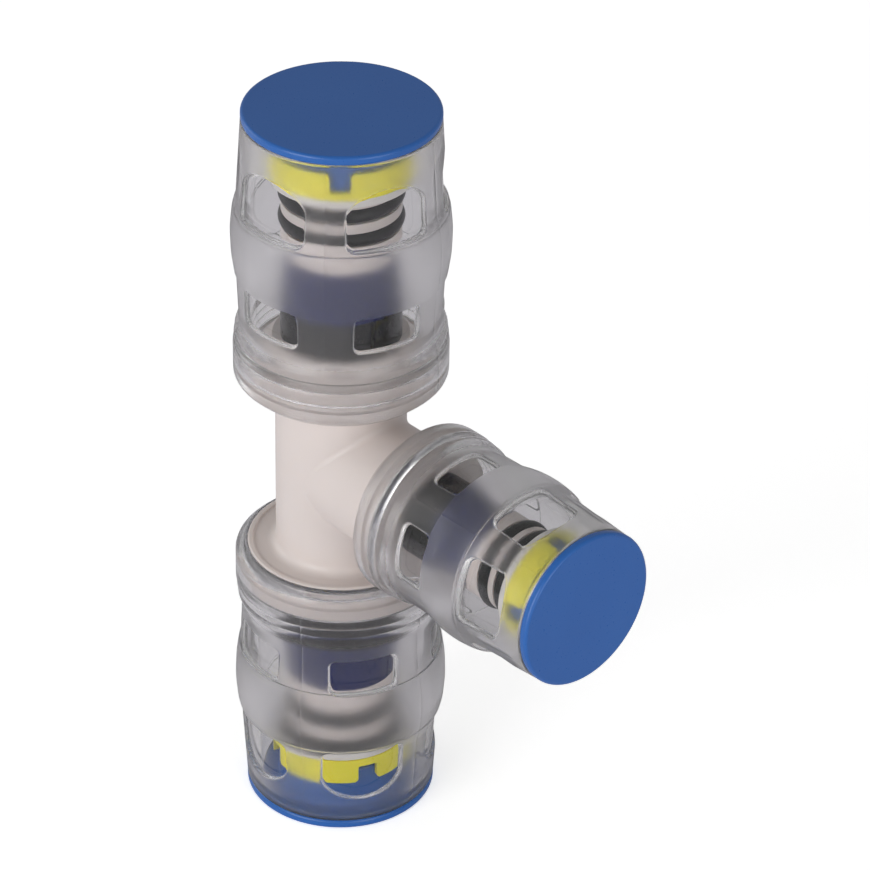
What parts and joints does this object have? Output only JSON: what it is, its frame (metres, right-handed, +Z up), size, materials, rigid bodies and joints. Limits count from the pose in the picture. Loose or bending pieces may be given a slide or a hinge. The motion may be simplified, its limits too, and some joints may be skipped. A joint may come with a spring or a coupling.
{
  "type": "push-fit tee",
  "caption": "Reducing push-fit pipe tee with clear windowed sleeves over sealed inserts and a blue dust cap in each mouth.",
  "frame": {"origin": "centre of the lower dust cap's outer face, on the run's axis, where the fitting stands", "axes": "+Z up the run's axis towards the upper socket, +X along the branch towards its mouth"},
  "size_m": [0.0621, 0.029, 0.106],
  "materials": {
    "body_cream": "satin moulded plastic",
    "sleeve_clear": "clear plastic, frosted inside except at the windows",
    "cap_blue": "semi-gloss moulded plastic",
    "indicator_yellow": "semi-gloss moulded plastic",
    "ring_white": "satin moulded plastic",
    "seal_black": "greased rubber",
    "ring_blue": "gloss moulded plastic",
    "ring_black": "gloss moulded plastic"
  },
  "bodies": {
    "fitting": {"tee_body": "body_cream", "upper_sleeve": "sleeve_clear", "upper_outer_o_ring": "seal_black", "upper_inner_o_ring": "seal_black", "upper_blue_ring": "ring_blue", "upper_black_ring": "ring_black", "lower_sleeve": "sleeve_clear", "lower_outer_o_ring": "seal_black", "lower_inner_o_ring": "seal_black", "lower_blue_ring": "ring_blue", "lower_black_ring": "ring_black", "branch_sleeve": "sleeve_clear", "branch_outer_o_ring": "seal_black", "branch_inner_o_ring": "seal_black", "branch_blue_ring": "ring_blue", "branch_black_ring": "ring_black"},
    "upper_cap": {"upper_dust_cap": "cap_blue"},
    "upper_indicator": {"upper_indicator_ring": "indicator_yellow", "upper_backing_ring": "ring_white"},
    "lower_cap": {"lower_dust_cap": "cap_blue"},
    "lower_indicator": {"lower_indicator_ring": "indicator_yellow", "lower_backing_ring": "ring_white"},
    "branch_cap": {"branch_dust_cap": "cap_blue"},
    "branch_indicator": {"branch_indicator_ring": "indicator_yellow", "branch_backing_ring": "ring_white"}
  },
  "joints": [
    {"name": "upper_cap_pull", "type": "slide", "parent": "fitting", "child": "upper_cap", "axis": [0, 0, 1], "range_m": [0, 0.008]},
    {"name": "lower_cap_pull", "type": "slide", "parent": "fitting", "child": "lower_cap", "axis": [0, 0, -1], "range_m": [0, 0.008]},
    {"name": "branch_cap_pull", "type": "slide", "parent": "fitting", "child": "branch_cap", "axis": [1, 0, 0], "range_m": [0, 0.008]},
    {"name": "upper_indicator_slide", "type": "slide", "parent": "fitting", "child": "upper_indicator", "axis": [0, 0, -1], "range_m": [0, 0.0233]},
    {"name": "lower_indicator_slide", "type": "slide", "parent": "fitting", "child": "lower_indicator", "axis": [0, 0, 1], "range_m": [0, 0.0219]},
    {"name": "branch_indicator_slide", "type": "slide", "parent": "fitting", "child": "branch_indicator", "axis": [-1, 0, 0], "range_m": [0, 0.0203]}
  ]
}
